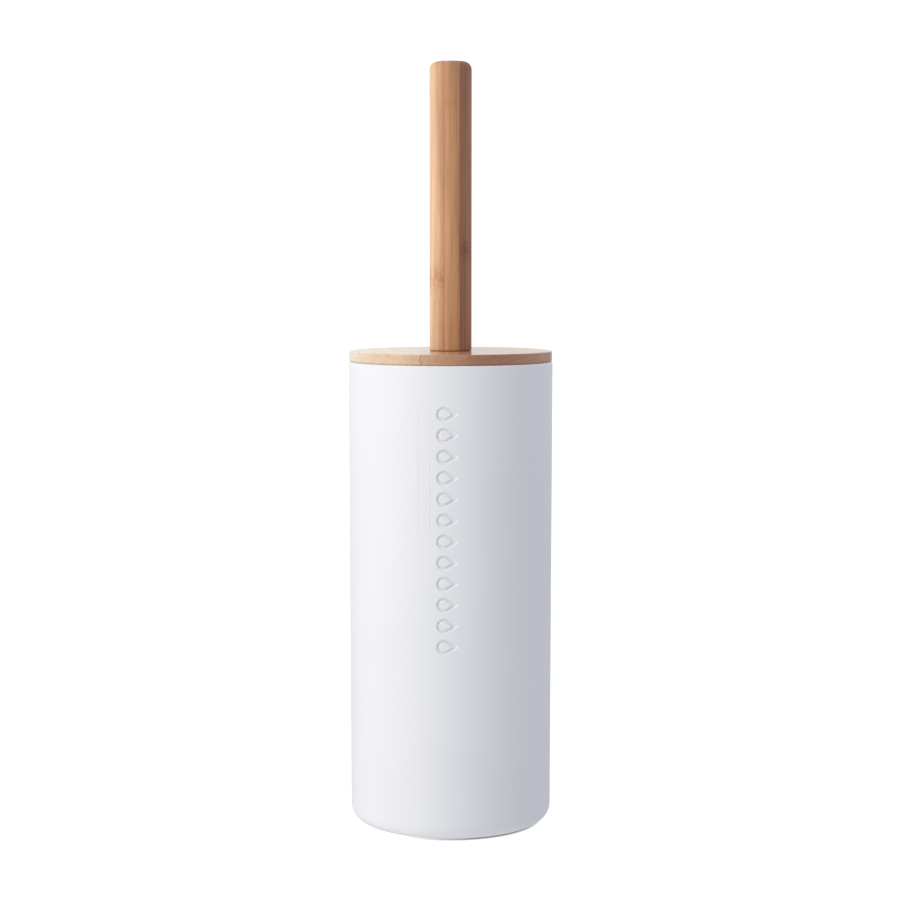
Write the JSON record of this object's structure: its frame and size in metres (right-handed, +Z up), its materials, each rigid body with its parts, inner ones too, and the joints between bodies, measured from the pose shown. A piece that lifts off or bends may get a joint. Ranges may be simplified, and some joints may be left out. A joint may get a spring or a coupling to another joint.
{
  "type": "toilet brush holder",
  "caption": "Free-standing round toilet brush holder: tall white plastic case, thin bamboo lid and a lift-out brush with a bamboo handle.",
  "frame": {"origin": "centre of the holder's footprint, on the surface it stands on", "axes": "+Z up along the case's axis, -Y towards the front that carries the debossed motif, +X to its right"},
  "size_m": [0.1, 0.1, 0.3733],
  "materials": {
    "case_plastic": "satin white polypropylene, faint moulding texture",
    "pad_rubber": "matt soft anti-slip rubber",
    "cup_plastic": "satin moulded polypropylene",
    "lid_bamboo": "oiled laminated bamboo, fine straight grain",
    "handle_bamboo": "oiled laminated bamboo, straight grain along the handle",
    "seal_silicone": "matt silicone",
    "brass": "turned",
    "steel": "drawn and polished stainless steel",
    "washer_nylon": "natural nylon",
    "head_plastic": "moulded white polypropylene",
    "bristle_nylon": "crimped white nylon filament"
  },
  "bodies": {
    "holder": {"outer_case": "case_plastic", "foot_pads": "pad_rubber", "drip_cup": "cup_plastic"},
    "lid": {"lid_disc": "lid_bamboo", "lid_seal": "seal_silicone"},
    "brush": {"handle": "handle_bamboo", "handle_insert": "brass", "stem_top_plug": "steel", "lid_washer": "washer_nylon", "stem_tube": "steel", "stem_end_plug": "steel", "head_insert": "brass", "head_core": "head_plastic", "bristle_row_1": "bristle_nylon", "bristle_row_2": "bristle_nylon", "bristle_row_3": "bristle_nylon", "bristle_row_4": "bristle_nylon", "bristle_row_5": "bristle_nylon", "bristle_row_6": "bristle_nylon", "bristle_row_7": "bristle_nylon", "bristle_crown_1": "bristle_nylon", "bristle_crown_2": "bristle_nylon", "bristle_crown_3": "bristle_nylon", "bristle_tip": "bristle_nylon"}
  },
  "joints": [
    {"name": "lift", "type": "slide", "parent": "holder", "child": "lid", "axis": [0, 0, 1], "range_m": [0, 0.225]},
    {"name": "spin", "type": "hinge", "parent": "lid", "child": "brush", "pos_m": [0, 0, 0.2306], "axis": [0, 0, 1], "continuous": true}
  ]
}
